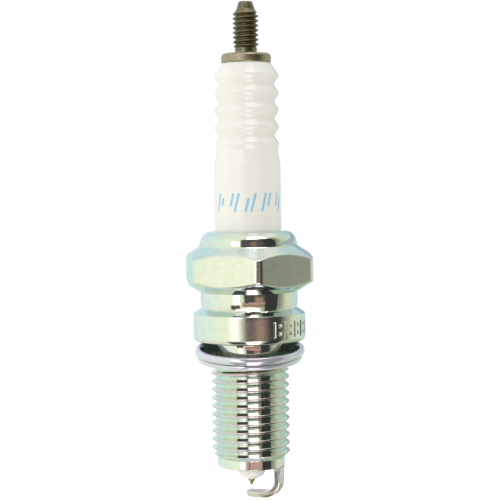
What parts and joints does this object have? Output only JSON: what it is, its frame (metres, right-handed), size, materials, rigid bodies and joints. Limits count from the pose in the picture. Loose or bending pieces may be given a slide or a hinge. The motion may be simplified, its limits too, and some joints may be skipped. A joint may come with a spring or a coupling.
{
  "type": "spark plug",
  "caption": "Fine-wire motorcycle spark plug with ribbed insulator, threaded terminal, hexagon shell, long-reach thread and a loose folded gasket.",
  "frame": {"origin": "centre of the gasket seat under the shell's collar, on the plug's axis", "axes": "+Z along the plug towards the terminal, -Z towards the spark gap; -Y is the side seen from the front, where one corner of the hexagon points and the loose gasket hangs lowest"},
  "size_m": [0.0192, 0.0202, 0.0744],
  "materials": {
    "plated_shell": "bright zinc plating with a pale iridescent passivate",
    "glazed_insulator": "glossy white glaze, matte on the nose",
    "terminal_steel": "dark, slightly oxidised nickel plating",
    "seal_glass": "fused copper and glass powder",
    "resistor_mix": "fused carbon and glass powder",
    "nickel_alloy": "bright nickel alloy",
    "copper": "plain copper",
    "fine_wire": "warm grey precious metal wire",
    "gasket_steel": "bright plated sheet steel",
    "plain_steel": "plain steel",
    "talc": "pressed powder"
  },
  "bodies": {
    "plug": {"shell": "plated_shell", "insulator": "glazed_insulator", "terminal_stud": "terminal_steel", "upper_glass_seal": "seal_glass", "resistor": "resistor_mix", "lower_glass_seal": "seal_glass", "centre_electrode": "nickel_alloy", "electrode_core": "copper", "electrode_tip": "fine_wire", "ground_electrode": "nickel_alloy", "seat_packing": "plain_steel", "lower_wire_ring": "plain_steel", "talc_ring": "talc", "upper_wire_ring": "plain_steel"},
    "gasket": {"gasket": "gasket_steel"}
  },
  "joints": [
    {"name": "gasket_swing", "type": "hinge", "parent": "plug", "child": "gasket", "pos_m": [0, 0.0077, -0.00005], "axis": [-1, 0, 0], "range_deg": [0, 6.5]}
  ]
}
